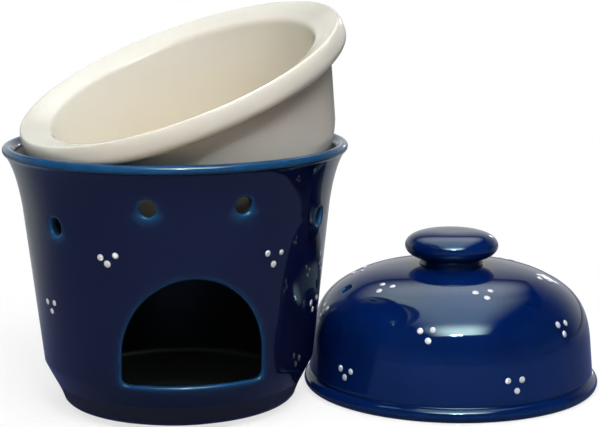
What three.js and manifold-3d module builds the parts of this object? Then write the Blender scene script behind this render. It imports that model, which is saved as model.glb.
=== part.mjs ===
// Apple baker in glazed stoneware: a warmer with an arched door, a baking dish leaning in its mouth,
// and a domed lid that stands on the table beside it. Millimetres, +Z up, the door faces -Y.
import * as THREE from 'three';
import { mergeVertices } from 'three/addons/utils/BufferGeometryUtils.js';
import Module from 'manifold-3d';

const wasm = await Module();
wasm.setup();
const { Manifold, Mesh: SolidMesh } = wasm;

// Roundness of the thrown forms: steps round the axis, and along each curve of an outline
const TURN_STEPS = 64;
const CURVE_STEPS = 3;
const DOME_STEPS = 4;
const BEAD_STEP_ANGLE = 30;
const KNOB_STEP_ANGLE = 20;

// Warmer: foot, tapered wall, flared mouth
const RIM_R = 80;
const WARMER_H = 124.2;
const WARMER_WALL = 4.8;
const LIP_ROUND = 2.2;
const FOOT_RING = { innerR: 37.5, r: 44.5, bevel: 1.2 };
const FOOT_RECESS = 2.4;
const FOOT_HEEL = { r: 53.8, z: 3.2 };
const FOOT_EDGE = { r: 54.9, z: 4.6 };
const FOOT_TOP = { r: 56.4, z: 9 };
const SHOULDER_PULL = { r: 61.6, z: 18.5 };
const SHOULDER = { r: 63.6, z: 23 };
const FLARE_START = { r: 71.4, z: 95 };
const FLARE_PULL = { r: 74, z: 113.5 };
const FLARE_END = { r: 78.8, z: 120.3 };
const CHAMBER_FLOOR_Z = 8.4;
const CHAMBER_CORNER = 6;
const CHAMBER_LOW_WALL = 6.3;

// Arched door in the warmer's wall
const DOOR_SILL_Z = 23.4;
const DOOR_SPRING_Z = 36.4;
const DOOR_TOP_Z = 72.7;
const DOOR_HALF_WIDTH = 31.2;
const DOOR_CORNER = 4;

// Vent holes: a higher pair over the door, the others in one lower ring round the wall
const VENT_R = 4;
const VENT_SIDES = 14;
const HIGH_VENT_Z = 104.8;
const HIGH_VENT_ANGLES = [-15.7, 17.7];
const LOW_VENT_Z = 93.2;
const LOW_VENT_FIRST = 58.7;
const LOW_VENT_STEP = 41.1;
const LOW_VENT_COUNT = 7;

// Baking dish, z = 0 in the plane of its rim
const DISH_DEPTH = 69;
const DISH_FOOT = { r: 42, innerR: 37, bevel: 1, recess: 1.6 };
const DISH_HEEL_PULL = { r: 55.8, z: -62.2 };
const DISH_BELLY = { r: 61.2, z: -46.5 };
const DISH_NECK = { r: 69.3, z: -14.9 };
const DISH_COVE_PULL = { r: 69.8, z: -12.9 };
const DISH_COVE_END = { r: 71.5, z: -12.9 };
const DISH_RIM_R = 78.6;
const RIM_BAND = 12.6;
const RIM_ROUND = 4.2;
const FLANGE_OUT = { r: 70.2, z: -3.6 };
const FLANGE_IN = { r: 65.7, z: -6.4 };
const WELL_LIP_PULL = { r: 64.1, z: -7.1 };
const WELL_TOP = { r: 63.8, z: -9.1 };
const WELL_BELLY = { r: 55.6, z: -46.5 };
const WELL_HEEL_PULL = { r: 51.8, z: -63.5 };
const WELL_FLOOR = { r: 36.8, z: -64 };

// Where the dish leans in the mouth: its rim centre, how far it tips, and towards which side
const DISH_AT = { x: 0.2, y: -6.6, z: 159.3 };
const DISH_TILT = 21.8;
const DISH_LEANS_TO = 201.95;

// Lid: flange, straight collar, dome with a flat seat for the knob, one steam hole
const LID_AT = { x: 134.2, y: 4.4 };
const LID_FLANGE_R = 71.9;
const LID_FLANGE_H = 6.8;
const LID_GROOVE = { r: 68.7, z: 7.3 };
const LID_COLLAR = { r: 69.3, z: 8.2 };
const LID_WALL = 5;
const KNOB_WAIST_R = 15.7;
const KNOB_SEAT_Z = 59.8;

// The dome's meridian, two curves that meet at the shoulder: end and pull points from the top of the
// straight collar to the knob's seat, each with the angle that the glazed face there has to the horizon
const DOME = [
  { r: 67.9, z: 24, facing: 0 },
  { r: 66.7, z: 37.5, facing: 17 },
  { r: 62.5, z: 46, facing: 47 },
  { r: 49.9, z: 52.3, facing: 62 },
  { r: 40.9, z: 57.4, facing: 70 },
  { r: 30, z: 59, facing: 85 },
  { r: KNOB_WAIST_R, z: KNOB_SEAT_Z, facing: 90 },
];

// Steam hole, a little above the shoulder
const STEAM_HOLE_R = 3;
const STEAM_HOLE_SIDES = 12;
const STEAM_HOLE_ANGLE = -84.9;
const STEAM_HOLE_SLOPE = 50;
const STEAM_HOLE_AT = { r: 53.5, z: 50.2 };

// Knob: a short waist under a thick flattened button
const KNOB_R = 22.7;
const KNOB_BUTTON_Z = 61.9;
const KNOB_TOP_Z = 76.3;
const KNOB_FULLNESS = 0.58;

const GLAZES = {
  cobalt: { color: 0x12183c, roughness: 0.16 },
  royal: { color: 0x0b1f5c, roughness: 0.14 },
  ivory: { color: 0xe6e0cb, roughness: 0.2 },
};

const degrees = (angle) => THREE.MathUtils.degToRad(angle);

// Turns an outline of (radius, height) round the vertical axis.
function turn(path, steps = CURVE_STEPS) {
  const outline = path.getPoints(steps);
  const geometry = new THREE.LatheGeometry(outline, TURN_STEPS);
  return geometry.rotateX(Math.PI / 2);
}

// Runs an outline round a bead of clay, from one angle of its section to another.
function rollOver(path, centre, radius, from, to) {
  for (let angle = from; angle <= to; angle += BEAD_STEP_ANGLE) {
    const direction = degrees(angle);
    path.lineTo(centre.r + radius * Math.cos(direction), centre.z + radius * Math.sin(direction));
  }
}

// Closed mesh to solid: shared corners are merged and the slivers on the axis left out.
function toSolid(geometry) {
  const bare = geometry.clone();
  bare.deleteAttribute('normal');
  bare.deleteAttribute('uv');
  const merged = mergeVertices(bare, 1e-3);
  const kept = [];
  const index = merged.index.array;
  for (let i = 0; i < index.length; i += 3) {
    const [a, b, c] = [index[i], index[i + 1], index[i + 2]];
    if (a !== b && b !== c && c !== a) kept.push(a, b, c);
  }
  const vertProperties = new Float32Array(merged.attributes.position.array);
  return new Manifold(new SolidMesh({ numProp: 3, vertProperties, triVerts: new Uint32Array(kept) }));
}

function toGeometry(solid) {
  const { vertProperties, triVerts } = solid.getMesh();
  const geometry = new THREE.BufferGeometry();
  geometry.setAttribute('position', new THREE.BufferAttribute(vertProperties, 3));
  geometry.setIndex(new THREE.BufferAttribute(triVerts, 1));
  geometry.computeVertexNormals();
  return geometry;
}

function glazed(name, geometry, glaze) {
  const material = new THREE.MeshStandardMaterial({ ...GLAZES[glaze], metalness: 0 });
  const mesh = new THREE.Mesh(geometry, material);
  mesh.name = name;
  return mesh;
}

// A round cutter lying along the radius that leaves the axis at this angle from the door.
function radialCutter(radius, sides, angle, from, to, z) {
  const cutter = new THREE.CylinderGeometry(radius, radius, to - from, sides);
  cutter.translate(0, -(from + to) / 2, z);
  return cutter.rotateZ(degrees(angle));
}

function warmerOutline() {
  const lip = { r: RIM_R - LIP_ROUND, z: WARMER_H - LIP_ROUND };
  const innerR = (point) => point.r - WARMER_WALL;
  const lowWallR = SHOULDER.r - CHAMBER_LOW_WALL;
  const path = new THREE.Path();
  path.moveTo(0, FOOT_RECESS);
  path.lineTo(FOOT_RING.innerR, FOOT_RECESS);
  path.lineTo(FOOT_RING.innerR + FOOT_RING.bevel, 0);
  path.lineTo(FOOT_RING.r, 0);
  path.lineTo(FOOT_HEEL.r, FOOT_HEEL.z);
  path.lineTo(FOOT_EDGE.r, FOOT_EDGE.z);
  path.lineTo(FOOT_TOP.r, FOOT_TOP.z);
  path.quadraticCurveTo(SHOULDER_PULL.r, SHOULDER_PULL.z, SHOULDER.r, SHOULDER.z);
  path.lineTo(FLARE_START.r, FLARE_START.z);
  path.quadraticCurveTo(FLARE_PULL.r, FLARE_PULL.z, FLARE_END.r, FLARE_END.z);
  rollOver(path, lip, LIP_ROUND, -60, 180);
  path.lineTo(innerR(FLARE_END), FLARE_END.z);
  path.quadraticCurveTo(innerR(FLARE_PULL), FLARE_PULL.z, innerR(FLARE_START), FLARE_START.z);
  path.lineTo(innerR(SHOULDER), SHOULDER.z);
  path.lineTo(lowWallR, CHAMBER_FLOOR_Z + CHAMBER_CORNER);
  path.quadraticCurveTo(lowWallR, CHAMBER_FLOOR_Z, lowWallR - CHAMBER_CORNER, CHAMBER_FLOOR_Z);
  path.lineTo(0, CHAMBER_FLOOR_Z);
  return path;
}

// The door's outline: straight sides that run into a tall elliptical arch.
function doorCutter() {
  const w = DOOR_HALF_WIDTH;
  const arch = new THREE.Shape();
  arch.moveTo(-w + DOOR_CORNER, DOOR_SILL_Z);
  arch.lineTo(w - DOOR_CORNER, DOOR_SILL_Z);
  arch.quadraticCurveTo(w, DOOR_SILL_Z, w, DOOR_SILL_Z + DOOR_CORNER);
  arch.lineTo(w, DOOR_SPRING_Z);
  arch.absellipse(0, DOOR_SPRING_Z, w, DOOR_TOP_Z - DOOR_SPRING_Z, 0, Math.PI, false, 0);
  arch.lineTo(-w, DOOR_SILL_Z + DOOR_CORNER);
  arch.quadraticCurveTo(-w, DOOR_SILL_Z, -w + DOOR_CORNER, DOOR_SILL_Z);
  const cutter = new THREE.ExtrudeGeometry(arch, { depth: RIM_R, bevelEnabled: false, curveSegments: 8 });
  return cutter.rotateX(Math.PI / 2);
}

function warmerBody() {
  let solid = toSolid(turn(warmerOutline())).subtract(toSolid(doorCutter()));
  const vents = HIGH_VENT_ANGLES.map((angle) => [angle, HIGH_VENT_Z]);
  for (let i = 0; i < LOW_VENT_COUNT; i += 1) vents.push([LOW_VENT_FIRST + i * LOW_VENT_STEP, LOW_VENT_Z]);
  for (const [angle, z] of vents) {
    const cutter = radialCutter(VENT_R, VENT_SIDES, angle, FOOT_RING.r, RIM_R + LIP_ROUND, z);
    solid = solid.subtract(toSolid(cutter));
  }
  return glazed('warmer_body', toGeometry(solid), 'cobalt');
}

function dishOutline() {
  const bandR = DISH_RIM_R - RIM_ROUND;
  const foot = DISH_FOOT;
  const path = new THREE.Path();
  path.moveTo(0, foot.recess - DISH_DEPTH);
  path.lineTo(foot.innerR, foot.recess - DISH_DEPTH);
  path.lineTo(foot.innerR + foot.bevel, -DISH_DEPTH);
  path.lineTo(foot.r, -DISH_DEPTH);
  path.quadraticCurveTo(DISH_HEEL_PULL.r, DISH_HEEL_PULL.z, DISH_BELLY.r, DISH_BELLY.z);
  path.lineTo(DISH_NECK.r, DISH_NECK.z);
  path.quadraticCurveTo(DISH_COVE_PULL.r, DISH_COVE_PULL.z, DISH_COVE_END.r, DISH_COVE_END.z);
  rollOver(path, { r: bandR, z: RIM_ROUND - RIM_BAND }, RIM_ROUND, -90, 0);
  rollOver(path, { r: bandR, z: -RIM_ROUND }, RIM_ROUND, 0, 120);
  path.lineTo(FLANGE_OUT.r, FLANGE_OUT.z);
  path.lineTo(FLANGE_IN.r, FLANGE_IN.z);
  path.quadraticCurveTo(WELL_LIP_PULL.r, WELL_LIP_PULL.z, WELL_TOP.r, WELL_TOP.z);
  path.lineTo(WELL_BELLY.r, WELL_BELLY.z);
  path.quadraticCurveTo(WELL_HEEL_PULL.r, WELL_HEEL_PULL.z, WELL_FLOOR.r, WELL_FLOOR.z);
  path.lineTo(0, WELL_FLOOR.z);
  return path;
}

// The dish lies in a group that tips its axis towards the low side of the rim.
function leaningDish() {
  const dish = glazed('baking_dish', turn(dishOutline()), 'ivory');
  const lean = degrees(DISH_LEANS_TO);
  const hingeLine = new THREE.Vector3(-Math.sin(lean), Math.cos(lean), 0);
  const group = new THREE.Group();
  group.quaternion.setFromAxisAngle(hingeLine, degrees(DISH_TILT));
  group.position.set(DISH_AT.x, DISH_AT.y, DISH_AT.z);
  group.add(dish);
  return group;
}

// The dome's meridian, drawn in by a wall thickness and run downwards for the inside.
function domeMeridian(path, inset, downwards) {
  const drawnIn = ({ r, z, facing }) => [
    r - inset * Math.cos(degrees(facing)),
    z - inset * Math.sin(degrees(facing)),
  ];
  const points = DOME.map(drawnIn);
  if (downwards) points.reverse();
  const [start, pull1, pull2, middle, pull3, pull4, end] = points;
  path.lineTo(...start);
  path.bezierCurveTo(...pull1, ...pull2, ...middle);
  path.bezierCurveTo(...pull3, ...pull4, ...end);
}

function lidOutline() {
  const bead = LID_FLANGE_H / 2;
  const beadCentre = { r: LID_FLANGE_R - bead, z: bead };
  const path = new THREE.Path();
  path.moveTo(0, KNOB_SEAT_Z - LID_WALL);
  domeMeridian(path, LID_WALL, true);
  path.lineTo(LID_COLLAR.r - LID_WALL, 0);
  rollOver(path, beadCentre, bead, -90, 90);
  path.lineTo(LID_GROOVE.r, LID_GROOVE.z);
  path.lineTo(LID_COLLAR.r, LID_COLLAR.z);
  domeMeridian(path, 0, false);
  path.lineTo(0, KNOB_SEAT_Z);
  return path;
}

function lidDome() {
  const hole = new THREE.CylinderGeometry(STEAM_HOLE_R, STEAM_HOLE_R, 4 * LID_WALL, STEAM_HOLE_SIDES);
  hole.rotateX(degrees(-STEAM_HOLE_SLOPE));
  hole.translate(0, -STEAM_HOLE_AT.r, STEAM_HOLE_AT.z);
  hole.rotateZ(degrees(STEAM_HOLE_ANGLE));
  const solid = toSolid(turn(lidOutline(), DOME_STEPS)).subtract(toSolid(hole));
  return glazed('lid_dome', toGeometry(solid), 'royal');
}

function knobOutline() {
  const middle = (KNOB_BUTTON_Z + KNOB_TOP_Z) / 2;
  const half = (KNOB_TOP_Z - KNOB_BUTTON_Z) / 2;
  const points = [new THREE.Vector2(0, KNOB_SEAT_Z), new THREE.Vector2(KNOB_WAIST_R, KNOB_SEAT_Z)];
  for (let angle = -60; angle <= 80; angle += KNOB_STEP_ANGLE) {
    const r = KNOB_R * Math.cos(degrees(angle)) ** KNOB_FULLNESS;
    points.push(new THREE.Vector2(r, middle + half * Math.sin(degrees(angle))));
  }
  points.push(new THREE.Vector2(0, KNOB_TOP_Z));
  return new THREE.Path(points);
}

function lid() {
  const group = new THREE.Group();
  group.position.set(LID_AT.x, LID_AT.y, 0);
  group.add(lidDome(), glazed('lid_knob', turn(knobOutline()), 'royal'));
  return group;
}

// The set stands with the middle of its footprint on the origin.
const appleBaker = new THREE.Group();
appleBaker.add(warmerBody(), leaningDish(), lid());
const footprint = new THREE.Box3().setFromObject(appleBaker, true).getCenter(new THREE.Vector3());
appleBaker.position.set(-footprint.x, -footprint.y, 0);

export default appleBaker;
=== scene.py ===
"""Looks of a glazed stoneware apple baker: warmer, leaning baking dish, lid and knob, in a plain studio.

Metres, +Z up. The warmer's door faces -Y and the lid stands on its +X side.
"""

import logging
import math
import random
from collections.abc import Callable, Iterable
from dataclasses import dataclass, field
from enum import Enum

import bmesh
import bpy
import numpy as np
from mathutils import Matrix, Vector


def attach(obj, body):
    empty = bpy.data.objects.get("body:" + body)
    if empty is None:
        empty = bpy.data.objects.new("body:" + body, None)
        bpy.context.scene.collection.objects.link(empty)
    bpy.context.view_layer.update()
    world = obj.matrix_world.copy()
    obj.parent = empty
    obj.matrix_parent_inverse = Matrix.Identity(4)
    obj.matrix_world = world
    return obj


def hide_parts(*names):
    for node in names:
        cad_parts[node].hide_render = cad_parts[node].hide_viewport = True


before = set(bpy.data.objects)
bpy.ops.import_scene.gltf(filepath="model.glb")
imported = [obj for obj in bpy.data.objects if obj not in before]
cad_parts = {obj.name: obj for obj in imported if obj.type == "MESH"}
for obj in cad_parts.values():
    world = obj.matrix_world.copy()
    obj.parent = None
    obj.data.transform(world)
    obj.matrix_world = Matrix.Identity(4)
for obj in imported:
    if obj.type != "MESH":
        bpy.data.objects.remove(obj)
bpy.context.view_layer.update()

logging.basicConfig(level=logging.INFO, format="%(message)s")
log = logging.getLogger("apple_baker")

MM = 0.001
TURN_STEPS = 240
KNOB_STEPS = 160
SECTORS = 8
OUTLINE_STEP = 1.3
HALVINGS = 40
WALL_INWARDS, WALL_OUTWARDS = 34.0, 16.0  # how far a wall may lie from the middle of an opening in it
FAR_AWAY = 1000.0
UP = Vector((0, 0, 1))

Section = tuple[float, float]
Run = tuple[Section, ...]
Span = tuple[float, float]
Colour = tuple[float, float, float]
Point = tuple[float, float, float]
Array = np.ndarray
Strength = Callable[[Array], Array]
Material, Object = bpy.types.Material, bpy.types.Object


class Slot(Enum):
    """The material slots."""

    COBALT = "cobalt_glaze"
    ROYAL = "royal_glaze"
    IVORY = "ivory_glaze"


class Side(Enum):
    """The two faces of a thrown wall, with the way that leads from each into the clay."""

    OUTER = -1
    INNER = 1


@dataclass(frozen=True)
class Signal:
    """One output of a shader node, so that shader maths reads as Python."""

    sheet: "Sheet"
    socket: bpy.types.NodeSocket

    def _math(self, operation: str, first: "Value", second: "Value") -> "Signal":
        """Adds one Math node and returns its result."""
        return self.sheet.node("ShaderNodeMath", {0: first, 1: second}, operation=operation)

    def __add__(self, other: "Value") -> "Signal":
        """self + other."""
        return self._math("ADD", self, other)

    __radd__ = __add__

    def __sub__(self, other: "Value") -> "Signal":
        """self - other."""
        return self._math("SUBTRACT", self, other)

    def __rsub__(self, other: float) -> "Signal":
        """other - self."""
        return self._math("SUBTRACT", other, self)

    def __mul__(self, other: "Value") -> "Signal":
        """self * other."""
        return self._math("MULTIPLY", self, other)

    __rmul__ = __mul__

    def at_least(self, other: "Value") -> "Signal":
        """The higher of the two."""
        return self._math("MAXIMUM", self, other)

    def rise(self, low: float, high: float) -> "Signal":
        """A smooth step: 0 up to low, 1 from high."""
        ends = {"From Min": low, "From Max": high, "Value": self}
        return self.sheet.node("ShaderNodeMapRange", ends, interpolation_type="SMOOTHSTEP")

    def fall(self, low: float, high: float) -> "Signal":
        """A smooth step down: 1 up to low, 0 from high."""
        return 1.0 - self.rise(low, high)

    def part(self, axis: str) -> "Signal":
        """A vector's X, Y or Z."""
        return self.sheet.node("ShaderNodeSeparateXYZ", {0: self}, axis)


Value = Signal | float
Inputs = dict[str | int, object]


class Sheet:
    """The nodes of a material or a world that is being written."""

    def __init__(self, owner: Material | bpy.types.World) -> None:
        """Empties the owner's node tree.

        Args:
            owner: the new material or world.
        """
        owner.use_nodes = True
        self.owner = owner
        self.tree = owner.node_tree
        self.tree.nodes.clear()

    def node(
        self, kind: str, values: Inputs | None = None, output: str | int = 0, **settings: object
    ) -> Signal:
        """Adds a node.

        Args:
            kind: the node's type.
            values: numbers, colours or signals for its inputs, by name or place.
            output: the output that is wanted.
            settings: its properties, set before its sockets.

        Returns:
            That output.
        """
        made = self.tree.nodes.new(kind)
        for name, value in settings.items():
            setattr(made, name, value)
        for name, value in (values or {}).items():
            if isinstance(value, Signal):
                self.tree.links.new(value.socket, made.inputs[name])
            else:
                made.inputs[name].default_value = value
        return Signal(self, made.outputs[output])

    def finish(self, shader: Signal, kind: str = "ShaderNodeOutputMaterial") -> bpy.types.ID:
        """Makes a shader the one that shows, through an output node of this kind, and returns the owner."""
        self.tree.links.new(shader.socket, self.tree.nodes.new(kind).inputs[0])
        return self.owner

    def attribute(self, name: str) -> Signal:
        """A number painted on the mesh under this name."""
        return self.node("ShaderNodeAttribute", None, "Fac", attribute_name=name)

    def place(self) -> Signal:
        """The point in the object's own frame."""
        return self.node("ShaderNodeTexCoord", None, "Object")

    def ray(self, kind: str) -> Signal:
        """1 for rays of this kind, such as Camera or Glossy, and 0 for the others."""
        return self.node("ShaderNodeLightPath", None, f"Is {kind} Ray")

    def noise(self, scale: float, detail: float = 2.0, roughness: float = 0.5) -> Signal:
        """Smooth noise round 0.5, of this many lumps in a metre, with finer layers of this roughness."""
        values = {"Vector": self.place(), "Scale": scale, "Detail": detail, "Roughness": roughness}
        return self.node("ShaderNodeTexNoise", values, "Fac")

    def mix(self, share: Signal, first: Signal | Colour, second: Signal | Colour) -> Signal:
        """Blends two colours, the first where the share is 0 and the second where it is 1."""
        colours = [c if isinstance(c, Signal) else (*c, 1.0) for c in (first, second)]
        return self.node("ShaderNodeMix", {0: share, 6: colours[0], 7: colours[1]}, 2, data_type="RGBA")

    def bump(self, height: Signal, depth: float, under: Signal | None = None) -> Signal:
        """A normal, from a height of 0 to 1 that measures this depth in metres, over another if given."""
        values = {"Height": height, "Distance": depth, "Strength": 1.0}
        return self.node("ShaderNodeBump", values | ({"Normal": under} if under else {}))


@dataclass(frozen=True)
class Coat:
    """A glossy coat over stoneware, and the bare clay that shows where a foot is wiped clean of it."""

    gloss: float = 0.045  # roughness
    ior: float = 1.6
    sheen: Colour = (0.74, 0.97, 0.95)  # tint of what it mirrors
    waves: tuple[float, float] = (34, 0.22)  # long waves in a metre, and their depth in millimetres
    peel: float = 420  # fine waves in a metre
    grain: tuple[float, float] = (900, 0.25)  # the same for the clay
    clay: Colour = (0.33, 0.25, 0.17)
    clay_roughness: float = 0.82  # on top of the gloss

    def finish(self, sheet: Sheet, glazed: Signal, dulled: Value = 0.0) -> Material:
        """Finishes a material.

        Args:
            sheet: its nodes.
            glazed: its colour where it is glazed.
            dulled: how much rougher than usual the glaze is.

        Returns:
            The material.
        """
        bare = sheet.attribute("bare").rise(0.35, 0.65)
        grain = sheet.noise(self.grain[0], 2.0)
        colour = sheet.mix(bare, glazed, self.clay)
        roughness = self.gloss + 0.03 * grain + dulled + bare * self.clay_roughness
        waves = sheet.bump(sheet.noise(self.waves[0], 1.0), self.waves[1] * MM)
        peel = sheet.bump(sheet.noise(self.peel, 1.0), 0.006 * MM, waves)
        sand = sheet.bump(grain * bare, self.grain[1] * MM, peel)
        values = {"Base Color": colour, "Roughness": roughness, "Normal": sand, "IOR": self.ior}
        values["Specular Tint"] = (*self.sheen, 1.0)
        return sheet.finish(sheet.node("ShaderNodeBsdfPrincipled", values))


@dataclass(frozen=True)
class BlueGlaze:
    """A glossy blue glaze: dark where it lies thick, lighter where it breaks over an edge and where light
    is painted on.
    """

    name: str
    slot: Slot
    thick: Colour
    usual: Colour
    broken_and_lit: Colour
    coat: Coat = Coat()
    inside: Colour = (0.0085, 0.006, 0.0065)

    def material(self) -> Material:
        """Writes the glaze as nodes.

        Returns:
            The new material.
        """
        sheet = Sheet(bpy.data.materials.new(self.name))
        clouds = sheet.noise(26, 3.0, 0.55)
        # thin glaze, and painted light under the vents and on the lid's flange and groove
        thin = sheet.attribute("thin") * (0.72 + 0.56 * sheet.noise(190, 2.0))
        body = sheet.mix(clouds.rise(0.3, 0.7), self.thick, self.usual)
        glazed = sheet.mix(thin.rise(0.0, 1.0), body, self.broken_and_lit)
        inner = sheet.attribute("inside")
        return self.coat.finish(sheet, sheet.mix(inner, glazed, self.inside), 0.4 * inner)


@dataclass(frozen=True)
class IvoryGlaze:
    """A clear glaze over a cream body, with painted shade, darker and warmer, down the well, and a few iron
    specks.
    """

    name: str
    slot: Slot
    cream: Colour
    # the well's painted shade: darker and warmer than the cream
    shaded_well: Colour
    coat: Coat
    iron: Colour = (0.07, 0.045, 0.02)

    def material(self) -> Material:
        """Writes the glaze as nodes.

        Returns:
            The new material.
        """
        sheet = Sheet(bpy.data.materials.new(self.name))
        # painted shade: darker and warmer further down the well
        depth = sheet.attribute("pool") * (0.85 + 0.3 * sheet.noise(30, 2.0))
        body = sheet.mix(depth.rise(0.0, 1.0), self.cream, self.shaded_well)
        cells = {"Vector": sheet.place(), "Scale": 46.0}
        nearest = sheet.node("ShaderNodeTexVoronoi", cells, "Distance", feature="F1")
        speck = nearest.fall(0.012, 0.03) * sheet.noise(9, 0.0).rise(0.55, 0.62)
        return self.coat.finish(sheet, sheet.mix(speck * 0.8, body, self.iron))


@dataclass(frozen=True)
class DotSlip:
    """White slip trailed on in beads, which the blue glaze tints round the foot of each bead."""

    name: str
    slot: Slot
    white: Colour = (0.68, 0.71, 0.74)
    tint: Colour = (0.03, 0.08, 0.24)

    def material(self) -> Material:
        """Writes the slip as nodes.

        Returns:
            The new material.
        """
        sheet = Sheet(bpy.data.materials.new(self.name))
        crown = sheet.attribute("crown") + 0.25 * (sheet.noise(1300, 1.0) - 0.5)
        colour = sheet.mix(crown.rise(0.02, 0.42), self.tint, self.white)
        roughness = 0.12 + 0.08 * sheet.noise(900, 1.0)
        lumps = sheet.bump(sheet.noise(1500, 1.0), 0.02 * MM)
        values = {"Base Color": colour, "Roughness": roughness, "Normal": lumps, "IOR": 1.5}
        return sheet.finish(sheet.node("ShaderNodeBsdfPrincipled", values))


@dataclass
class Outline:
    """A section to be turned: points (radius, height) in millimetres, and the side and row of each."""

    points: list[Section] = field(default_factory=list)
    places: list[tuple[int, int]] = field(default_factory=list)

    def through(self, points: Iterable[Section], side: Side | None = None) -> None:
        """Adds points.

        Args:
            points: the points, from the foot upwards for an outer face and downwards for an inner one.
            side: the side of the wall, where openings may be cut.
        """
        laid = list(points)
        rows = range(len(laid)) if side is Side.OUTER else range(len(laid) - 1, -1, -1)
        for point, row in zip(laid, rows):
            if self.points and math.dist(point, self.points[-1]) < 1e-6:
                self.points.pop()
                self.places.pop()
            self.points.append(point)
            self.places.append((side.value if side else 0, row))

    def along(self, *runs: Section | Run) -> None:
        """Adds straight and curved runs from the last point on.

        Args:
            runs: for each the end of a straight one, or the pulls and the end of a curve.
        """
        for run in runs:
            ends = run if isinstance(run[0], tuple) else (run,)
            self.through(curved(self.points[-1], *ends)[1:] if self.points else ends)

    def roll(self, centre: Section, radius: float, start: float, end: float) -> None:
        """Adds a bead, which starts and ends at these degrees up from straight outwards."""
        count = max(4, round(abs(end - start) / 15))
        self.through(on_circle(centre, radius, start + (end - start) * i / count) for i in range(count + 1))


def facing(angle: float) -> tuple[Point, Point]:
    """The level ways that lead out and across at this angle, in degrees from -Y towards +X."""
    sine, cosine = math.sin(math.radians(angle)), math.cos(math.radians(angle))
    return (sine, -cosine, 0.0), (cosine, sine, 0.0)


def on_circle(centre: Section, radius: float, degrees: float) -> Section:
    """The point of a circle that lies this many degrees up from straight outwards."""
    way = math.radians(degrees)
    return centre[0] + radius * math.cos(way), centre[1] + radius * math.sin(way)


def curved(*pulls: Section, step: float = OUTLINE_STEP, count: int = 0) -> list[Section]:
    """Points along a line or a curve, evenly spaced in its parameter.

    Args:
        pulls: its start, the points that pull it, and its end.
        step: about how far apart the points lie.
        count: how many points there are, if the step doesn't say.

    Returns:
        The points, with both ends.
    """
    length = sum(math.dist(a, b) for a, b in zip(pulls, pulls[1:]))
    shares = np.linspace(0, 1, count or max(2, math.ceil(length / step) + 1))
    levels = [np.outer(1 - shares, a) + np.outer(shares, b) for a, b in zip(pulls, pulls[1:])]
    while len(levels) > 1:
        levels = [(1 - shares)[:, None] * a + shares[:, None] * b for a, b in zip(levels, levels[1:])]
    return [(float(r), float(z)) for r, z in levels[0]]


@dataclass(frozen=True)
class Foot:
    """A turned foot ring with a shallow recess in it."""

    inner_r: float
    outer_r: float
    recess: float
    edge: float  # width of the ring's bevels

    def outline(self, bottom: float) -> Outline:
        """Starts a section.

        Args:
            bottom: the height that the ring stands on.

        Returns:
            The underside, from the middle of the recess to the ring's outer bevel.
        """
        ceiling = bottom + self.recess
        path = Outline()
        bevel = ((self.inner_r + self.edge / 2, ceiling), (self.inner_r + self.edge, bottom))
        path.along((0, ceiling), (self.inner_r - 1, ceiling), bevel, (self.outer_r - self.edge, bottom))
        return path


class Wall:
    """The two faces of a turned wall, each a radius for every height."""

    def __init__(self, outer: Iterable[Section], inner: Iterable[Section]) -> None:
        """Keeps the points of both faces."""
        faces = {Side.OUTER: outer, Side.INNER: inner}
        self.faces = {side: np.array(sorted((z, r) for r, z in face)).T for side, face in faces.items()}

    def radius(self, side: Side, z: Array | float) -> Array:
        """How far a face is from the axis at these heights."""
        heights, radii = self.faces[side]
        return np.interp(z, heights, radii)

    def meet(self, side: Side, starts: Array, way: Array) -> Array:
        """Finds where lines leave a face of the wall.

        Args:
            side: the face.
            starts: a point on each line.
            way: the direction that all of them take outwards.

        Returns:
            How far along each line the face is met.
        """
        low, high = np.full(len(starts), -WALL_INWARDS), np.full(len(starts), WALL_OUTWARDS)
        for _ in range(HALVINGS):
            middle = (low + high) / 2
            r, z = polar(starts + middle[:, None] * way)
            outside = r > self.radius(side, z)
            high = np.where(outside, middle, high)
            low = np.where(outside, low, middle)
        return (low + high) / 2


@dataclass(frozen=True)
class RoundRim:
    """The outline of a drilled hole."""

    radius: float

    def reach(self, theta: Array, offset: float) -> Array:
        """How far the outline, let out by an offset, is from its middle in each direction."""
        return np.full(len(theta), self.radius + offset)


@dataclass(frozen=True)
class ArchRim:
    """The outline of the door, from its middle: a level sill, straight sides and a tall elliptical arch."""

    half_width: float
    sill: float
    spring: float  # where the arch starts
    top: float
    corner: float  # roundness of the lower corners

    def reach(self, theta: Array, offset: float) -> Array:
        """How far the outline is from its middle.

        Args:
            theta: the directions.
            offset: how far it is let out.

        Returns:
            The distance in each direction.
        """
        w, s, c = self.half_width, self.sill, self.corner
        run = curved((0, s), (w - c, s)) + curved((w - c, s), (w, s), (w, s + c), step=0.5)
        run += curved((w, s + c), (w, self.spring))
        angles = np.linspace(0, math.pi / 2, 60)
        rise = self.top - self.spring
        run += [(w * math.cos(a), self.spring + rise * math.sin(a)) for a in angles]
        right = np.array([p for p, q in zip(run, run[1:]) if math.dist(p, q) > 1e-6] + [run[-1]])
        points = np.vstack([right, right[-2:0:-1] * (-1, 1)])
        along = np.roll(points, -1, axis=0) - np.roll(points, 1, axis=0)
        outwards = np.stack([along[:, 1], -along[:, 0]], axis=1)
        outwards /= np.linalg.norm(outwards, axis=1)[:, None]
        grown = points + offset * outwards
        angles = np.arctan2(grown[:, 1], grown[:, 0])
        order = np.argsort(angles)
        return np.interp(theta, angles[order], np.hypot(*grown[order].T), period=2 * math.pi)


@dataclass(frozen=True)
class Halo:
    """How thin the glaze lies round an opening, and the painted light on its lit lower part."""

    edge: float  # on the edge itself
    edge_reach: float
    near: float = 0.0  # all round the opening
    under: float = 0.0  # on top of that, near its lower part, where the glaze is thinner and painted light stands for the lit lower edge
    span: Span = (0.0, 1.0)  # how far down, in halves of the height
    reach: float = 2.6


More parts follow.
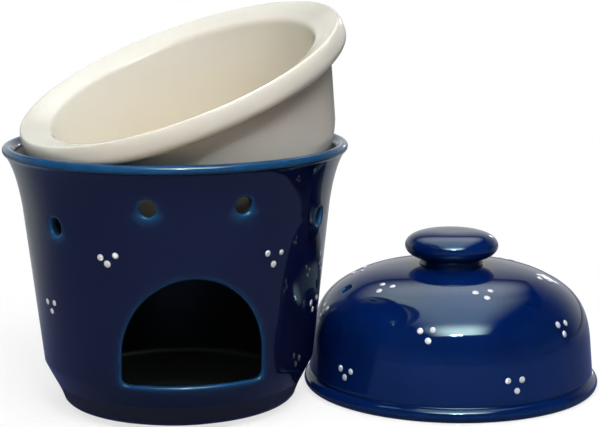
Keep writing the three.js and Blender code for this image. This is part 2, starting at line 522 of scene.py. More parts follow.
@dataclass(frozen=True)
class Opening:
    """A hole through a turned wall, with softly rounded edges on both of its faces."""

    rim: RoundRim | ArchRim
    angle: float  # degrees from -Y towards +X
    centre: Section
    soft: float  # roundness of the edges
    clear_angle: float  # half the angle over which the wall is laid anew round it
    clear_height: Span  # the heights between which it is
    halo: Halo
    slope: float = 0.0  # degrees that it points upwards
    approach: int = 3  # rings of faces round it
    soft_steps: int = 5

    def frame(self) -> tuple[Array, Array, Array, Array]:
        """The middle of the opening, and the ways across it, up it and out of it.

        Returns:
            Four vectors.
        """
        level, across = np.array(facing(self.angle))
        run, rise = on_circle((0, 0), 1.0, self.slope)
        out = level * run + np.array([0, 0, rise])
        middle = level * self.centre[0] + np.array([0, 0, self.centre[1]])
        return middle, across, np.cross(out, across), out

    def seen(self, spots: Array) -> Array:
        """How far points lie across, up and out from the opening's middle."""
        middle, *ways = self.frame()
        return (spots - middle) @ np.transpose(ways)

    def rings(self) -> list[Point]:
        """The rings of points from the wall to the cut, each as a share of the way, an offset and a depth.

        Returns:
            The rings, in order.
        """
        flat = [(1 / (self.approach - i), self.soft, 0.0) for i in range(self.approach)]
        turns = [math.pi / 2 * i / self.soft_steps for i in range(1, self.soft_steps + 1)]
        return flat + [(1.0, self.soft * (1 - math.sin(a)), self.soft * (1 - math.cos(a))) for a in turns]

    def settle(self, verts: list, ring: Point, side: Side, wall: Wall) -> None:
        """Moves a loop of vertices onto one of the rings.

        Args:
            verts: the loop.
            ring: how far towards the opening, and how deep.
            side: the face of the wall.
            wall: the wall.
        """
        share, offset, depth = ring
        middle, across, up, out = self.frame()
        u, v, _ = self.seen(np.array([v.co for v in verts])).T
        theta, far = np.arctan2(v, u), np.hypot(u, v)
        far = far + (self.rim.reach(theta, offset) - far) * share
        lines = middle + np.outer(far * np.cos(theta), across) + np.outer(far * np.sin(theta), up)
        met = wall.meet(side, lines, out) + side.value * depth
        for vert, spot in zip(verts, lines + met[:, None] * out):
            vert.co = spot

    def thin(self, spots: Array) -> Array:
        """How thin the opening makes the glaze, with painted light below it for a lit lower edge.

        Args:
            spots: the points.

        Returns:
            For each point 1 where the glaze breaks most, and 0 far off.
        """
        u, v, out = self.seen(spots).T
        far = np.maximum(0, np.hypot(u, v) - self.rim.reach(np.arctan2(v, u), 0.0))
        far = np.where(np.abs(out) < WALL_INWARDS, far, FAR_AWAY)
        below = -v / self.rim.reach(np.array([-math.pi / 2]), 0.0)
        halo = self.halo
        around = faded(far, halo.reach) * (halo.near + halo.under * stepped(below, *halo.span))
        return np.maximum(halo.edge * faded(far, halo.edge_reach), around)


class Turned:
    """A thrown piece in the making: an outline turned round an upright axis, in millimetres."""

    def __init__(self, outline: Outline, steps: int = TURN_STEPS) -> None:
        """Turns the outline.

        Args:
            outline: the section.
            steps: faces once round.
        """
        self.outline = outline
        self.bm = bmesh.new()
        self.side = self.bm.verts.layers.int.new("side")
        self.row = self.bm.verts.layers.int.new("row")
        section = []
        for (r, z), (side, row) in zip(outline.points, outline.places):
            section.append(self.bm.verts.new((r, 0, z)))
            section[-1][self.side], section[-1][self.row] = side, row
        edges = [self.bm.edges.new(pair) for pair in zip(section, section[1:])]
        part = math.tau / SECTORS
        bmesh.ops.spin(
            self.bm, geom=section + edges, cent=(0, 0, 0), axis=UP, dvec=(0, 0, 0),
            angle=part, steps=steps // SECTORS, use_merge=False, use_duplicate=False,
        )
        sector = self.bm.verts[:] + self.bm.edges[:] + self.bm.faces[:]
        for turns in range(1, SECTORS):
            copy = bmesh.ops.duplicate(self.bm, geom=sector)["geom"]
            verts = [v for v in copy if isinstance(v, bmesh.types.BMVert)]
            turned = Matrix.Rotation(turns * part, 3, "Z")
            bmesh.ops.rotate(self.bm, cent=(0, 0, 0), matrix=turned, verts=verts)
        bmesh.ops.remove_doubles(self.bm, verts=self.bm.verts, dist=1e-4)

    def cut(self, opening: Opening, wall: Wall) -> None:
        """Cuts an opening through the wall and rounds its edges.

        Args:
            opening: the hole.
            wall: the wall that it goes through.
        """
        low, high = opening.clear_height
        places = zip(self.outline.points, self.outline.places)
        rows = {row for (_, z), (side, row) in places if side == Side.OUTER.value and low <= z <= high}
        turn, half = math.radians(opening.angle), math.radians(opening.clear_angle)

        def cleared(vert: bmesh.types.BMVert) -> bool:
            """Whether a vertex lies where the wall is laid anew."""
            around = (math.atan2(vert.co.x, -vert.co.y) - turn + math.pi) % math.tau - math.pi
            return abs(around) < half and vert[self.side] != 0 and vert[self.row] in rows

        gone = [f for f in self.bm.faces if all(cleared(v) for v in f.verts)]
        bmesh.ops.delete(self.bm, geom=gone, context="FACES")
        ends = []
        for side in Side:
            loop = [e for e in self.bm.edges if e.is_boundary and e.verts[0][self.side] == side.value]
            for ring in opening.rings():
                grown = bmesh.ops.extrude_edge_only(self.bm, edges=loop)["geom"]
                loop = [e for e in grown if isinstance(e, bmesh.types.BMEdge) and e.is_boundary]
                verts = list(dict.fromkeys(v for e in loop for v in e.verts))
                opening.settle(verts, ring, side, wall)
            ends += loop
        bmesh.ops.bridge_loops(self.bm, edges=ends)

    def paint(self, **strengths: Strength) -> None:
        """Gives every vertex numbers for the glaze to read.

        Args:
            strengths: for each name, what gives the number for points in millimetres.
        """
        for name in strengths:
            self.bm.verts.layers.float.new(name)
        spots = np.array([v.co for v in self.bm.verts])
        for name, strength in strengths.items():
            layer = self.bm.verts.layers.float[name]
            for vert, value in zip(self.bm.verts, strength(spots)):
                vert[layer] = float(value)

    def place(self, name: str, where: Matrix) -> Object:
        """Makes the object, with this place, in millimetres, worked into its mesh."""
        bmesh.ops.recalc_face_normals(self.bm, faces=self.bm.faces)
        return placed(self.bm, name, where)


def placed(bm: bmesh.types.BMesh, name: str, where: Matrix) -> Object:
    """Turns a finished bmesh into an object.

    Args:
        bm: the mesh, in millimetres.
        name: the object's name.
        where: where the piece goes, in millimetres.

    Returns:
        The object, in metres.
    """
    bmesh.ops.transform(bm, matrix=Matrix.Scale(MM, 4) @ where, verts=bm.verts)
    mesh = bpy.data.meshes.new(name)
    bm.to_mesh(mesh)
    bm.free()
    mesh.shade_smooth()
    made = bpy.data.objects.new(name, mesh)
    bpy.context.scene.collection.objects.link(made)
    return made


def ride(made: Object, body: str, slot: Slot, finish: Material, *nodes: str) -> None:
    """Ties a piece to its body and gives it its glaze.

    Args:
        made: the piece.
        body: the body that carries it.
        slot: its material slot.
        finish: its material.
        nodes: the plain solids that it stands for.
    """
    made.data.materials.append(finish)
    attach(made, body)
    if nodes:
        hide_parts(*nodes)
    log.info("%s: %d faces, %s", made.name, len(made.data.polygons), slot.value)


def faded(distance: Array, reach: float) -> Array:
    """1 at no distance, fading over a reach."""
    return np.exp(-distance / reach)


def stepped(value: Array, low: float, high: float) -> Array:
    """0 up to low, 1 from high."""
    return np.clip((value - low) / (high - low), 0, 1)


def polar(spots: Array) -> tuple[Array, Array]:
    """How far each point is from the axis, and how high."""
    return np.hypot(spots[:, 0], spots[:, 1]), spots[:, 2]


def wiped(height: float) -> Strength:
    """Bare clay up to this height, where a foot is wiped clean of glaze."""
    return lambda spots: stepped(height - spots[:, 2], 0.0, 0.3)


def nowhere(spots: Array) -> Array:
    """0 for every point."""
    return np.zeros(len(spots))


Cluster = tuple[Section, Section, Section]


@dataclass(frozen=True)
class Beads:
    """Slip dots in groups of three, two over one."""

    groups: tuple[Cluster, ...]  # (angle, height) of each dot
    radius: float
    height: float = 0.55
    seed: int = 5  # sets how the dots differ, as hand work does

    def build(self, name: str, where: Matrix, face: list[Section]) -> Object:
        """Makes all dots as one mesh.

        Args:
            name: the object's name.
            where: where the piece that they are on goes, in millimetres.
            face: the outer face of that piece.

        Returns:
            The object.
        """
        chance = random.Random(self.seed)
        points = np.array(face)
        bm = bmesh.new()
        crown = bm.verts.layers.float.new("crown")
        for angle, z in (dot for group in self.groups for dot in group):
            size = self.radius * chance.uniform(0.9, 1.08)
            high = self.height * chance.uniform(0.85, 1.1)
            oval = Matrix.Diagonal((size, size * chance.uniform(0.92, 1.05), high, 1))
            spin = Matrix.Rotation(chance.uniform(0, math.tau), 4, "Z")
            made = bmesh.ops.create_uvsphere(bm, u_segments=14, v_segments=8, radius=1.0)["verts"]
            for vert in made:
                vert[crown] = vert.co.z
            seat = self.seat(points, angle, z)
            bmesh.ops.transform(bm, matrix=seat @ spin @ oval, verts=made)
        return placed(bm, name, where)

    @staticmethod
    def seat(points: Array, angle: float, z: float) -> Matrix:
        """The frame of a dot on a turned face.

        Args:
            points: the face's section, from the foot upwards.
            angle: degrees from -Y towards +X.
            z: the height.

        Returns:
            A matrix whose Z points out of the face.
        """
        i = int(np.clip(np.searchsorted(points[:, 1], z), 1, len(points) - 1))
        low, high = points[i - 1], points[i]
        r = float(np.interp(z, points[:, 1], points[:, 0]))
        along = Vector(high - low).normalized()
        level, across = (Vector(way) for way in facing(angle))
        out = level * along.y - UP * along.x
        axes = Matrix((across, out.cross(across), out)).transposed().to_4x4()
        return Matrix.Translation(level * r + UP * z) @ axes


@dataclass(frozen=True)
class Warmer:
    """The vented warmer: a flared bowl wall on a turned foot, with an arched door and nine vents."""

    at: tuple[float, float] = (-63.05, 1.916)
    rim_r: float = 79.97
    height: float = 124.2
    wall: float = 4.8
    lip: float = 2.2
    lip_break: Span = (118.6, 122.2)  # heights over which the glaze gets thin
    foot: Foot = Foot(37.5, 44.5, 2.4, 1.2)
    heel: Section = (53.8, 3.2)
    foot_edge: Section = (54.9, 4.6)
    belly: Run = ((56.4, 9.0), (61.6, 18.5), (63.6, 23.0))
    flare: Run = ((71.4, 95.0), (74.0, 113.5), (78.8, 120.3))
    floor_z: float = 8.4
    chamber_corner: float = 6.0
    chamber_top: float = 121.6
    low_wall_r: float = 57.3
    pierced: Span = (16.5, 114.0)  # heights between which the wall is cut
    door: Opening = Opening(
        ArchRim(half_width=31.2, sill=-22.6, spring=-9.6, top=26.7, corner=4.0),
        0.0, (67.2, 46.0), 1.7, 38.5, (18.4, 78.0), Halo(0.8, 1.4, 0.35, 0.5, (0.4, 1.1)), approach=14,
    )
    vent_r: float = 4.0
    vent_soft: float = 1.1
    vent_clear: tuple[float, float] = (6.9, 7.0)  # degrees, and millimetres up and down
    # lighter blue under each vent: thinner glaze, and painted light for the lower edge lit from above
    vent_halo: Halo = Halo(0.8, 0.9, 0.0, 0.95, (-0.2, 0.9))
    high_vents: tuple[Section, ...] = ((-15.7, 104.8), (17.7, 104.8))  # (angle, height)
    low_vent: Section = (58.7, 93.2)  # the first of the lower row
    low_vent_step: float = 41.1
    low_vents: int = 7

    def outer(self) -> list[Section]:
        """The outer face from the foot to the flare."""
        straight = curved(self.belly[-1], self.flare[0])
        return curved(*self.belly) + straight[1:] + curved(*self.flare)[1:]

    def inner(self) -> list[Section]:
        """The inner face, from the chamber's low wall to the flare."""
        shoulder, *flare = [(r - self.wall, z) for r, z in (self.belly[-1], *self.flare)]
        return [(self.low_wall_r, self.floor_z + self.chamber_corner), shoulder, *curved(*flare)]

    def openings(self, wall: Wall) -> list[Opening]:
        """The door and the vents.

        Args:
            wall: the wall that they go through.

        Returns:
            All of them, the door first.
        """
        angle, low_z = self.low_vent
        low = [(angle + self.low_vent_step * i, low_z) for i in range(self.low_vents)]
        rim, (around, height) = RoundRim(self.vent_r), self.vent_clear
        found = [self.door]
        for angle, z in [*self.high_vents, *low]:
            centre, clear = (float(wall.radius(Side.OUTER, z)), z), (z - height, z + height)
            found.append(Opening(rim, angle, centre, self.vent_soft, around, clear, self.vent_halo))
        return found

    def outline(self, wall: Wall) -> Outline:
        """The section.

        Args:
            wall: its two faces.

        Returns:
            The whole outline, from the middle of the foot round to the middle of the chamber's floor.
        """
        low, high = self.pierced
        rows = np.linspace(low, high, 76)
        path = self.foot.outline(0)
        ring_r, bevel = self.foot.outer_r, self.foot.edge
        path.along(((ring_r, 0), (ring_r + bevel, 0.6)), (self.heel[0] - bevel, self.heel[1] - 0.4))
        belly = [(r, z) for r, z in self.outer() if self.belly[0][1] + 2.5 < z < low - 0.5]
        path.along((self.heel, self.foot_edge), (self.belly[0], belly[0]))
        path.through(belly[1:])
        path.through([(float(wall.radius(Side.OUTER, z)), float(z)) for z in rows], Side.OUTER)
        path.through((r, z) for r, z in self.outer() if z > high + 0.5)
        path.roll((self.rim_r - self.lip, self.height - self.lip), self.lip, -60, 150)
        ends = [(r, z) for r, z in reversed(self.inner()) if z > high + 0.5]
        path.along(((ends[0][0] - 0.1, ends[0][1] + 2.0), ends[0]))
        path.through(ends[1:])
        rows = [(float(wall.radius(Side.INNER, z)), float(z)) for z in reversed(rows)]
        path.through(rows, Side.INNER)
        low_r, floor, corner = self.low_wall_r, self.floor_z, self.chamber_corner
        path.along((low_r, floor + corner), ((low_r, floor), (low_r - corner, floor)), (0, floor))
        return path

    def build(self, glaze: BlueGlaze, slip: DotSlip) -> None:
        """Makes the warmer and its dots.

        Args:
            glaze: the glaze.
            slip: the slip of the dots.
        """
        wall = Wall(self.outer(), self.inner())
        openings = self.openings(wall)
        piece = Turned(self.outline(wall))
        for opening in openings:
            piece.cut(opening, wall)

        def thin(spots: Array) -> Array:
            """Where the glaze lies thin, and where light is painted on it.

            Args:
                spots: the points.

            Returns:
                How thin: most at every edge, and in a halo round each opening, partly painted light under
                    the vents.
            """
            r, z = polar(spots)
            outside = stepped(r - self.wall / 2 - wall.radius(Side.INNER, z), -0.5, 0.5)
            heel = np.hypot(r - self.foot_edge[0], z - self.foot_edge[1])
            found = [0.72 * stepped(z, *self.lip_break), 0.3 * faded(heel, 1.2)]
            found += [opening.thin(spots) for opening in openings]
            return np.max(found, axis=0) * (0.35 + 0.65 * outside)

        def inside(spots: Array) -> Array:
            """Where the chamber's own glaze lies: inside the wall and under the lip.

            Args:
                spots: the points.

            Returns:
                How much of it lies there.
            """
            r, z = polar(spots)
            high = stepped(z, 5.0, 6.0) * stepped(self.chamber_top - z, 0.0, 1.6)
            return high * stepped(wall.radius(Side.INNER, z) + 1.6 - r, 0.0, 0.8)

        piece.paint(thin=thin, inside=inside, bare=wiped(0.55))
        where = Matrix.Translation((*self.at, 0))
        ride(piece.place("warmer", where), "warmer", glaze.slot, glaze.material(), "warmer_body")
        dots = Beads(WARMER_DOTS, radius=1.55).build("warmer_dots", where, self.outer())
        ride(dots, "warmer", slip.slot, slip.material())


@dataclass(frozen=True)
class Dish:
    """The baking dish: a deep well in a thick banded rim, leaning in the warmer's mouth."""

    at: Point = (-62.85, -4.684, 159.3)  # middle of the rim
    tilt: float = 22.2  # degrees
    leans_to: float = 203.6  # degrees from +X towards +Y
    depth: float = 69.0
    foot: Foot = Foot(37.0, 42.0, 1.6, 1.0)
    belly: Run = ((55.8, -62.2), (61.2, -46.5))
    neck: Section = (69.2, -15.4)
    cove: Run = ((69.7, -13.4), (71.5, -13.4))
    rim_r: float = 78.45
    band: float = 13.2
    rim_round: float = 4.6  # of the band's lower edge
    rim_pull: float = -4.5  # height that its upper half is drawn towards
    lip: Section = (76.43, -2.75)
    lip_round: float = 1.0
    lip_turn: Span = (30, 104)  # degrees from straight outwards
    flange: Run = ((74.6, -2.2), (71.2, -3.3))
    flange_in: Section = (65.9, -5.4)
    well_top: Run = ((64.2, -6.2), (63.8, -8.4))
    well_belly: Section = (55.6, -46.5)
    well_floor: Run = ((51.8, -63.5), (36.8, -64.0))
    pool_edge: Section = (67.0, -9.0)  # on the cone inside which the well's painted shade lies
    pool_slope: float = 0.16  # how much wider that is for each millimetre up
    pool_depth: Span = (8.0, 55.0)

    def outline(self) -> Outline:
        """The section.

        Returns:
            The whole outline, from under the foot round the rim to the middle of the well.
        """
        bottom, ring_r = -self.depth, self.foot.outer_r
        path = self.foot.outline(bottom)
        bevel = ((ring_r + 0.3, bottom), (ring_r + 1.4, bottom + self.foot.edge))
        path.along(bevel, self.belly, self.neck, self.cove)
        band_r = self.rim_r - self.rim_round
        path.roll((band_r, self.rim_round - self.band), self.rim_round, -90, 0)
        path.along(((self.rim_r, self.rim_pull), on_circle(self.lip, self.lip_round, self.lip_turn[0])))
        path.roll(self.lip, self.lip_round, *self.lip_turn)
        path.along(self.flange, self.flange_in, self.well_top, self.well_belly, self.well_floor)
        path.along((0, self.well_floor[-1][1]))
        return path

    def build(self, glaze: IvoryGlaze) -> None:
        """Makes the dish.

        Args:
            glaze: the glaze.
        """
        piece = Turned(self.outline())

        def pool(spots: Array) -> Array:
            """How much painted shade the well gets.

            Args:
                spots: the points.

            Returns:
                How much, most far down the well.
            """
            r, z = polar(spots)
            edge_r, edge_z = self.pool_edge
            inside = stepped(edge_r - r + (z - edge_z) * self.pool_slope, 0.0, 2.0)
            return inside * (0.25 + 0.75 * stepped(-z, *self.pool_depth))

        piece.paint(pool=pool, bare=wiped(0.5 - self.depth))
        lean = math.radians(self.leans_to)
        hinge = Vector((-math.sin(lean), math.cos(lean), 0))
        tip = Matrix.Rotation(math.radians(self.tilt), 4, hinge)
        made = piece.place("dish", Matrix.Translation(self.at) @ tip)
        ride(made, "dish", glaze.slot, glaze.material(), "baking_dish")


@dataclass(frozen=True)
class Lid:
    """The domed lid, with a rounded flange, a groove over it, one steam hole and a button knob."""

    at: tuple[float, float] = (71.15, 6.316)
    flange_r: float = 71.87
    flange_h: float = 6.8
    groove: Section = (68.7, 7.3)
    groove_edge: Section = (69.4, 8.4)  # where the glaze breaks, painted lighter, partly as a highlight
    collar: Section = (69.3, 8.2)
    wall: float = 5.0
    crown_r: float = 14.0  # flat part of the inside
    waist_r: float = 15.7
    seat_z: float = 59.8
    meridian: tuple[Point, ...] = (  # radius, height, degrees that it faces up
        (67.9, 24.0, 0.0), (66.7, 37.5, 17.0), (62.5, 46.0, 47.0), (49.9, 52.3, 62.0),
        (40.9, 57.4, 70.0), (30.0, 59.0, 85.0), (15.7, 59.8, 90.0),
    )
    hole: Opening = Opening(
        RoundRim(3.0), -84.9, (53.5, 50.2), 0.9, 8.0, (45.8, 54.2), Halo(0.3, 0.8), slope=50.0
    )
    knob_r: float = 22.65
    button_z: float = 61.9
    top_z: float = 76.25
    fullness: float = 0.58  # 1 for an ellipse, fuller below 1
    button_start: int = -62  # degrees over the button's middle

    def dome(self, inset: float) -> list[Section]:
        """The dome's section, from the collar to the knob's seat, drawn in by an inset."""
        pulls = [on_circle((r, z), -inset, facing) for r, z, facing in self.meridian]
        return curved(*pulls[:4], count=31) + curved(*pulls[3:], count=31)[1:]

    def outline(self) -> Outline:
        """The section.

        Returns:
            The whole outline, from under the crown down the inside, round the flange and up the dome.
        """
        bead, ceiling, inner_r = self.flange_h / 2, self.seat_z - self.wall, self.collar[0] - self.wall
        groove_r, groove_z = self.groove
        path = Outline()
        path.along((0, ceiling), (self.crown_r, ceiling))
        path.through(list(reversed(self.dome(self.wall))), Side.INNER)
        path.along((inner_r, 1.0), ((inner_r, 0), (inner_r + 1.2, 0)), (self.flange_r - bead, 0))
        path.roll((self.flange_r - bead, bead), bead, -90, 78)
        path.along(((groove_r, groove_z - 0.9), self.groove))
        path.along(((groove_r + 0.2, groove_z + 0.6), self.collar), self.meridian[0][:2])
        path.through(self.dome(0.0), Side.OUTER)
        path.along((0, self.seat_z))
        return path

    def knob_outline(self) -> Outline:
        """The section of the knob: a short waist that spreads onto the dome, and a full button.

        Returns:
            The whole outline, from the middle of the seat to the top.
        """
        middle, half = (self.button_z + self.top_z) / 2, (self.top_z - self.button_z) / 2

        def button(degrees: float) -> Section:
            """The point of the button this many degrees over its middle."""
            way = math.radians(degrees)
            return self.knob_r * math.cos(way) ** self.fullness, middle + half * math.sin(way)

        path = Outline()
        spread = ((self.waist_r - 0.5, self.seat_z + 1.2), button(self.button_start))
        path.along((0, self.seat_z), (self.waist_r, self.seat_z), spread)
        path.through(button(degrees) for degrees in range(self.button_start + 3, 90, 3))
        path.along((0, self.top_z))
        return path

    def build(self, glaze: BlueGlaze, slip: DotSlip) -> None:
        """Makes the lid, its knob and its dots.

        Args:
            glaze: the glaze.
            slip: the slip of the dots.
        """
        piece = Turned(self.outline())
        piece.cut(self.hole, Wall(self.dome(0.0), self.dome(self.wall)))

        def thin(spots: Array) -> Array:
            """Where the glaze lies thin, with a painted highlight on the flange's edge and the groove.

            Args:
                spots: the points.

            Returns:
                How thin: most on the flange's edge and over the groove, partly painted highlight there, and
                    round the steam hole.
            """
            r, z = polar(spots)
            over = np.hypot(r - self.groove_edge[0], z - self.groove_edge[1])
            # the lighter flange edge and groove line: thinner glaze, and partly a painted highlight
            edge = 0.14 * faded(self.flange_r - r, 0.8) + 0.2 * faded(over, 0.7)
            return np.maximum(edge, self.hole.thin(spots))

        piece.paint(thin=thin, bare=wiped(0.5), inside=nowhere)
        where = Matrix.Translation((*self.at, 0))
        finish = glaze.material()
        ride(piece.place("lid", where), "lid", glaze.slot, finish, "lid_dome")
        knob = Turned(self.knob_outline(), KNOB_STEPS)
        knob.paint(thin=nowhere, bare=nowhere, inside=nowhere)
        ride(knob.place("knob", where), "lid", glaze.slot, finish, "lid_knob")
        face = curved(self.collar, self.meridian[0][:2]) + self.dome(0.0)[1:]
        dots = Beads(LID_DOTS, radius=1.65, seed=9).build("lid_dots", where, face)
        ride(dots, "lid", slip.slot, slip.material())


def groups(across: float, drop: float, *middles: Section) -> list[Cluster]:
    """Clusters of three dots, two over one.

    Args:
        across: half the angle between the upper two.
        drop: how far the third lies under them.
        middles: (angle, height) of each cluster.

    Returns:
        The clusters.
    """
    found = []
    for angle, z in middles:
        high = z + drop / 3
        found.append(((angle - across, high), (angle + across, high), (angle + across * 0.2, high - drop)))
    return found


WARMER_DOTS: tuple[Cluster, ...] = (
    ((-34.2, 82.1), (-28.2, 83.4), (-31.6, 79.4)),
    ((28.4, 81.8), (34.9, 81.3), (31.4, 76.5)),
    ((-67.0, 56.3), (-61.4, 56.8), (-64.0, 52.5)),
    ((66.8, 52.9), (59.3, 52.2), (62.1, 48.5)),
    *groups(3.1, 4.4, (95, 80.6), (-105, 81.0), (127, 53.5), (-127, 54.0), (159, 80.8), (-159, 80.2)),
)

LID_DOTS: tuple[Cluster, ...] = (
    ((-27.8, 41.0), (-22.5, 41.7), (-24.1, 37.1)),
    ((35.8, 39.8), (41.4, 39.6), (38.1, 35.3)),
    ((7.5, 18.8), (13.5, 18.7), (11.2, 13.8)),
    ((-63.4, 18.3), (-57.4, 18.1), (-60.6, 14.6)),
    ((-62.9, 55.2), (-54.2, 55.3), (-59.5, 53.2)),
    ((-0.3, 55.0), (9.5, 55.2), (4.9, 53.2)),
    ((61.2, 55.2), (68.4, 55.3), (67.0, 53.4)),
    ((-90.6, 41.4), (-84.9, 41.1), (-89.1, 36.7)),
    ((-115.4, 55.3), (-106.4, 55.3), (-110.5, 53.3)),
    *groups(2.9, 4.4, (95, 39.8), (155, 39.6), (-150, 39.8), (82.5, 16.8), (154, 17.0), (-133, 16.6)),
    *groups(4.4, 2.0, (125, 54.6), (-172, 54.6)),
)


@dataclass(frozen=True)
class Ceiling:
    """A soft ceiling light over the table, brightest along its front edge; its sizes are in metres."""

    height: float = 0.95
    left: Span = (-0.64, -0.04)  # where it fades in
    right: Span = (0.13, 0.53)  # where it fades out at the front
    spread: float = 0.3  # farther right for each metre behind widens_from
    widens_from: float = -0.5
    front: float = -1.05
    near: Span = (-0.8, -0.35)  # where the brighter front part ends
    back: Span = (0.6, 1.6)
    level: float = 2.0  # 1 is the brightest white that isn't clipped
    front_level: float = 11.0
    lamp_level: float = 300.0
    lamp_back: Span = (0.03, 0.05)  # behind the front edge
    lamp_left: Span = (-0.2, -0.16)
    lamp_right: Span = (-0.01, 0.03)
    share: float = 0.93  # of it that falls as light

    def build(self) -> None:
        """Adds the light as one glowing sheet."""
        width = self.right[1] + self.spread * self.back[1] - self.left[0]
        length = self.back[1] - self.front
        bm = bmesh.new()
        bmesh.ops.create_grid(bm, x_segments=16, y_segments=24, size=0.5)
        bmesh.ops.scale(bm, vec=(width / MM, length / MM, 1), verts=bm.verts)
        bmesh.ops.reverse_faces(bm, faces=bm.faces)
        middle = (self.left[0] + width / 2, self.front + length / 2, self.height)
        sheet = placed(bm, "ceiling_light", Matrix.Translation(Vector(middle) / MM))
        sheet.data.materials.append(self.glow())

    def glow(self) -> Material:
        """Light that varies over the sheet, which a camera above it looks through.

        Returns:
            The new material.
        """
        sheet = Sheet(bpy.data.materials.new("ceiling_glow"))
        x, y = sheet.place().part("X"), sheet.place().part("Y")
        reach = x - self.spread * (y - self.widens_from).at_least(0.0)
        across = x.rise(*self.left) * reach.fall(*self.right)
        lamp = y.fall(*(self.front + behind for behind in self.lamp_back))
        lamp = lamp * x.rise(*self.lamp_left) * x.fall(*self.lamp_right)
        level = across * (self.level * y.fall(*self.back) + self.front_level * y.fall(*self.near))
        level = (level + self.lamp_level * lamp) * (self.share + (1.0 - self.share) * sheet.ray("Glossy"))
        glow = sheet.node("ShaderNodeEmission", {"Color": level, "Strength": 1.0})
        clear = sheet.node("ShaderNodeBsdfTransparent")
        return sheet.finish(sheet.node("ShaderNodeMixShader", {0: sheet.ray("Camera"), 1: glow, 2: clear}))


@dataclass(frozen=True)
class Studio:
    """A pale floor under a soft ceiling light, in a dim room with a white backdrop."""

    ambient: float = 0.12
    side_light: float = 0.6
    side: Point = (-0.87, -0.5, 0)  # the way to the side light
    room: float = 0.03  # as the glaze mirrors it, like the next two
    backdrop: float = 0.7
    window: float = 4.0
    window_aside: float = 0.53  # metres to the right for each metre back
    window_edge: Span = (0.001, 0.002)
    window_foot: Span = (0.11, 0.12)
    window_top: Span = (0.2, 0.21)
    floor_size: float = 6.0
    floor_white: float = 0.93
    floor_lit: Colour = (0.66, 0.57, 0.41)  # as light thrown back from the left
    floor_shaded: Colour = (0.15, 0.11, 0.07)  # and from the right
    lit: Span = (-0.25, -0.06)  # where the one turns into the other
    shaded_floor_front: Colour = (0.11, 0.13, 0.30)  # as the glaze mirrors it in front: painted shade, as on a floor whose front is shaded
    lit_floor_back: Colour = (0.45, 0.47, 0.5)  # and behind: painted light, as on a floor lit from behind
    turns: Span = (0.0, 0.3)
    clear: float = 0.72  # how much of its own white the camera sees
    runs_out: Span = (0.15, 0.30)  # how far off that rises to all of it
    light: Ceiling = Ceiling()

    def build(self) -> None:
        """Adds the floor, the light and the surroundings."""
        bm = bmesh.new()
        bmesh.ops.create_grid(bm, x_segments=2, y_segments=2, size=self.floor_size / MM)
        floor = placed(bm, "floor", Matrix.Identity(4))
        floor.data.materials.append(self.paper())
        self.light.build()
        bpy.context.scene.world = self.surroundings()

    def paper(self) -> Material:
        """White paper that keeps its shadow near the piece and runs out into the white behind; to other
        rays it shows painted light and shade.

        Returns:
            The new material.
        """
        sheet = Sheet(bpy.data.materials.new("white_paper"))
        seen, place = sheet.ray("Camera"), sheet.place()
        # painted shade on the floor's front and painted light behind, as the glaze mirrors them
        mirrored = sheet.mix(place.part("Y").rise(*self.turns), self.shaded_floor_front, self.lit_floor_back)
        bounce = sheet.mix(place.part("X").rise(*self.lit), self.floor_lit, self.floor_shaded)
        thrown = sheet.mix(sheet.ray("Glossy"), bounce, mirrored)
        colour = sheet.mix(seen, thrown, (self.floor_white,) * 3)
        values = {"Base Color": colour, "Roughness": 0.9, "Specular IOR Level": 0.0}
        paper = sheet.node("ShaderNodeBsdfPrincipled", values)
        white = sheet.node("ShaderNodeEmission", {"Color": (1, 1, 1, 1), "Strength": 1.0})
        far = sheet.node("ShaderNodeVectorMath", {0: place}, "Value", operation="LENGTH")
        share = seen * (self.clear + (1.0 - self.clear) * far.rise(*self.runs_out))
        return sheet.finish(sheet.node("ShaderNodeMixShader", {0: share, 1: paper, 2: white}))

    def surroundings(self) -> bpy.types.World:
        """White behind the camera's view, soft light all round, and the room that the glaze reflects.

        Returns:
            The new world.
        """
        sheet = Sheet(bpy.data.worlds.new("surroundings"))
        way = sheet.node("ShaderNodeTexCoord", None, "Generated")
        right, back, up = (way.part(axis) for axis in "XYZ")
        glow = back.rise(0.1, 0.85) * up.fall(0.1, 0.7)
        aside = right - self.window_aside * back
        window = (aside * aside).fall(*self.window_edge) * up.rise(*self.window_foot)
        window = window * up.fall(*self.window_top)
        level = self.room + (self.backdrop - self.room) * glow + self.window * window * back.rise(0.5, 0.6)
        # the floor's painted shade, below the horizon in front
        level = sheet.mix(back.fall(-0.1, 0.1) * up.fall(-0.05, 0.3), level, self.shaded_floor_front)
        side = sheet.node("ShaderNodeVectorMath", {0: way, 1: self.side}, "Value", operation="DOT_PRODUCT")
        soft = self.ambient + self.side_light * side.rise(0.1, 1.0)
        mirrored = sheet.ray("Glossy") + sheet.ray("Transmission")
        colour = sheet.mix(sheet.ray("Camera"), sheet.mix(mirrored, soft, level), (1.0, 1.0, 1.0))
        shader = sheet.node("ShaderNodeBackground", {"Color": colour, "Strength": 1.0})
        return sheet.finish(shader, "ShaderNodeOutputWorld")


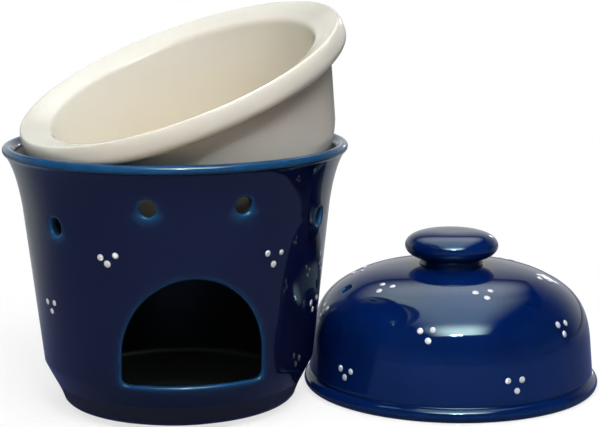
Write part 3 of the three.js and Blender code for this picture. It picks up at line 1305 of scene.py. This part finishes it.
@dataclass(frozen=True)
class Viewpoint:
    """The camera, where the photograph was taken from."""

    at: Point = (-0.13877, -0.75999, 0.22660)
    turn: float = 0.1663  # radians from +Y towards +X
    pitch: float = 0.1940  # downwards
    roll: float = -0.00468
    lens: float = 99.25  # millimetres, like the film's width
    film: float = 36.0
    shift: tuple[float, float] = (0.0217, 0.0458)

    def build(self) -> None:
        """Adds the camera and makes it the scene's."""
        data = bpy.data.cameras.new("camera")
        data.lens = self.lens
        data.sensor_width = self.film
        data.sensor_fit = "HORIZONTAL"
        data.shift_x, data.shift_y = self.shift
        data.clip_start = 0.01
        camera = bpy.data.objects.new("camera", data)
        turned = Matrix.Rotation(-self.turn, 4, "Z")
        pitched = Matrix.Rotation(math.pi / 2 - self.pitch, 4, "X")
        rolled = Matrix.Rotation(self.roll, 4, "Z")
        camera.matrix_world = Matrix.Translation(self.at) @ turned @ pitched @ rolled
        bpy.context.scene.collection.objects.link(camera)
        bpy.context.scene.camera = camera


COBALT = BlueGlaze(
    "cobalt",
    Slot.COBALT,
    thick=(0.0032, 0.0034, 0.020),
    usual=(0.0041, 0.0044, 0.0255),
    broken_and_lit=(0.008, 0.075, 0.20),
)
ROYAL = BlueGlaze(
    "royal",
    Slot.ROYAL,
    thick=(0.0005, 0.008, 0.064),
    usual=(0.0008, 0.0125, 0.092),
    broken_and_lit=(0.012, 0.10, 0.26),
    coat=Coat(sheen=(0.66, 0.98, 0.95)),
)
CLEAR_COAT = Coat(0.07, 1.55, (0.84, 0.96, 1.0), (30, 0.2), 380, (700, 0.2), (0.62, 0.54, 0.41), 0.8)
IVORY = IvoryGlaze("ivory", Slot.IVORY, (0.65, 0.635, 0.565), (0.605, 0.55, 0.425), CLEAR_COAT)


def main() -> None:
    """Builds the set, its studio and its view."""
    bpy.context.scene.view_settings.view_transform = "Standard"
    Warmer().build(COBALT, DotSlip("slip_on_cobalt", Slot.COBALT))
    Dish().build(IVORY)
    Lid().build(ROYAL, DotSlip("slip_on_royal", Slot.ROYAL))
    Studio().build()
    Viewpoint().build()


if __name__ == "__main__":
    main()
